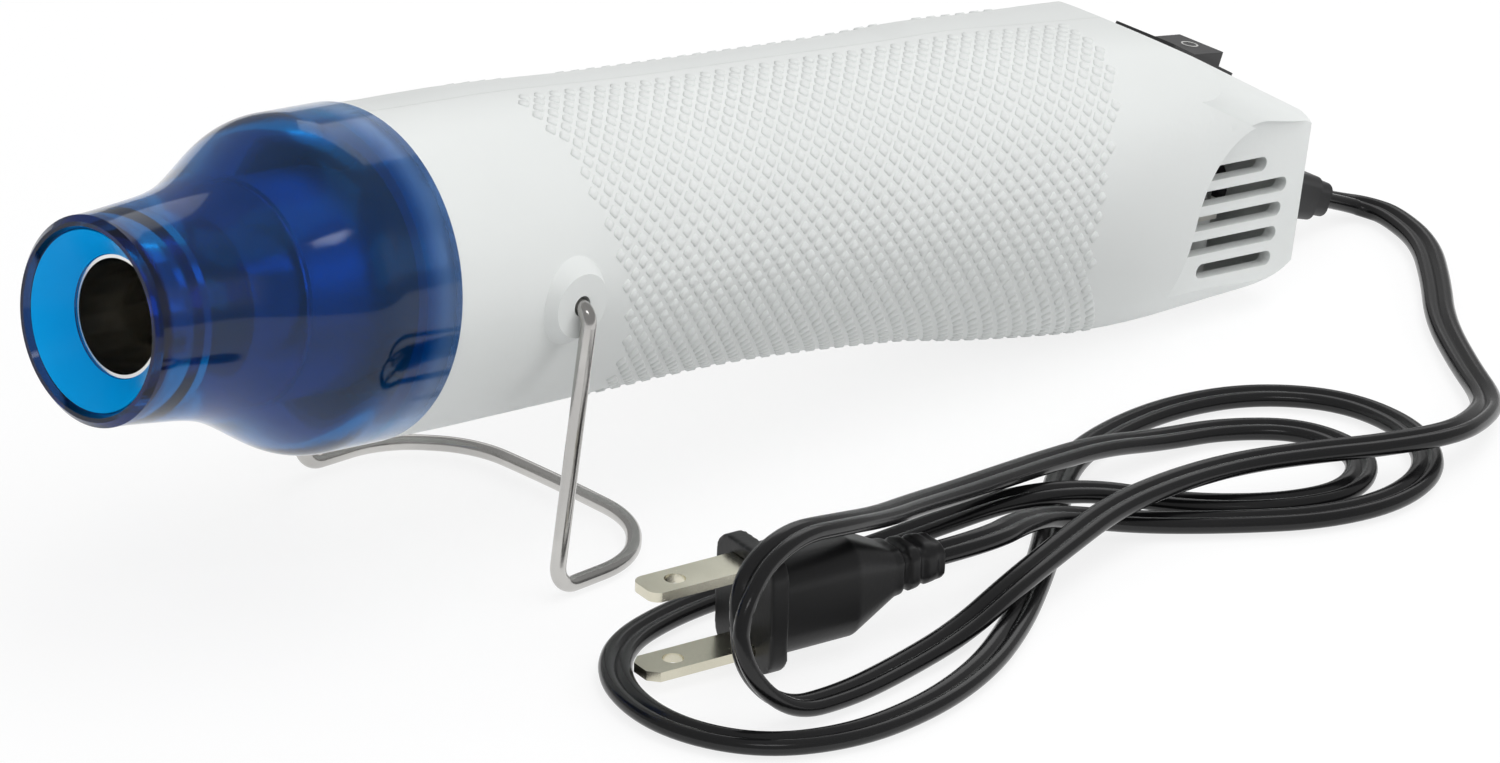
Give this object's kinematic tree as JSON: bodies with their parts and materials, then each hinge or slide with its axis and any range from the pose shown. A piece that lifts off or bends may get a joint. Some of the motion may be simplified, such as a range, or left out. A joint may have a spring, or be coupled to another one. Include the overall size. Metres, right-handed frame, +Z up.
{
  "type": "embossing heat tool",
  "caption": "Small hot-air embossing tool: knurled white handle, flared tinted nozzle cap with a steel outlet, folding wire stand, rear rocker switch, flat cord and flat-blade plug.",
  "frame": {"origin": "on the surface the tool rests on, under the middle of the tool's bounding box, strain relief included, cord and plug left out", "axes": "+X runs from the nozzle to the rear, +Y is the side away from the cord's coil, +Z is up; the tool leans 6.04 degrees nose up on its wire stand"},
  "size_m": [0.281, 0.1207, 0.0733],
  "materials": {
    "shell_white": "satin, with a knurled grip",
    "cap_blue": "clear tinted, polished",
    "outlet_steel": "bright",
    "barrel_steel": "satin",
    "stand_steel": "satin",
    "mica": "dull layered sheet",
    "coil_metal": "oxidised",
    "thermostat_case": "satin",
    "fuse_metal": "satin",
    "ring_rubber": "matt",
    "duct_plastic": "matt",
    "motor_steel": "satin",
    "endbell_plastic": "matt",
    "bush_bronze": "satin",
    "magnet": "dull",
    "fan_plastic": "matt",
    "board": "matt",
    "terminal_metal": "satin",
    "diode_black": "matt",
    "capacitor_case": "satin",
    "switch_black": "satin",
    "rocker_black": "satin",
    "pin_steel": "satin",
    "relief_black": "satin",
    "clamp_plastic": "matt",
    "cord_black": "satin, with a centre groove",
    "plug_black": "satin",
    "blade_metal": "nickel plated",
    "wire_white": "matt"
  },
  "bodies": {
    "housing": {"left_shell": "shell_white", "right_shell": "shell_white", "nozzle_cap": "cap_blue", "outlet_tube": "outlet_steel", "heater_barrel": "barrel_steel", "mica_sleeve": "mica", "mica_cross": "mica", "heater_base_disc": "mica", "heating_coil": "coil_metal", "thermostat": "thermostat_case", "thermal_fuse": "fuse_metal", "barrel_rings": "ring_rubber", "fan_duct": "duct_plastic", "motor_can": "motor_steel", "motor_endbell": "endbell_plastic", "motor_bushes": "bush_bronze", "motor_magnets": "magnet", "rectifier_board": "board", "motor_terminals": "terminal_metal", "switch_tabs": "terminal_metal", "rectifier_diodes": "diode_black", "motor_capacitor": "capacitor_case", "switch_frame": "switch_black", "rocker_pin": "pin_steel", "shell_screws": "pin_steel", "clamp_screws": "pin_steel", "strain_relief": "relief_black", "cord_clamp": "clamp_plastic", "cord_lead": "cord_black", "cord_hank": "cord_black", "plug_body": "plug_black", "plug_blades": "blade_metal", "inner_wires": "wire_white"},
    "rotor": {"motor_shaft": "motor_steel", "armature": "motor_steel", "fan_impeller": "fan_plastic"},
    "rocker": {"rocker": "rocker_black"},
    "stand": {"stand_wire": "stand_steel"}
  },
  "joints": [
    {"name": "fan_spin", "type": "hinge", "parent": "housing", "child": "rotor", "pos_m": [-0.0211, 0, 0.0409], "axis": [0.9945, 0, -0.1052], "continuous": true},
    {"name": "rocker_tilt", "type": "hinge", "parent": "housing", "child": "rocker", "pos_m": [0.09241, 0, 0.03633], "axis": [0, 1, 0], "range_deg": [0, 20]},
    {"name": "stand_swing", "type": "hinge", "parent": "housing", "child": "stand", "pos_m": [-0.05839, 0, 0.04484], "axis": [0, 1, 0], "range_deg": [-20, 90]}
  ]
}
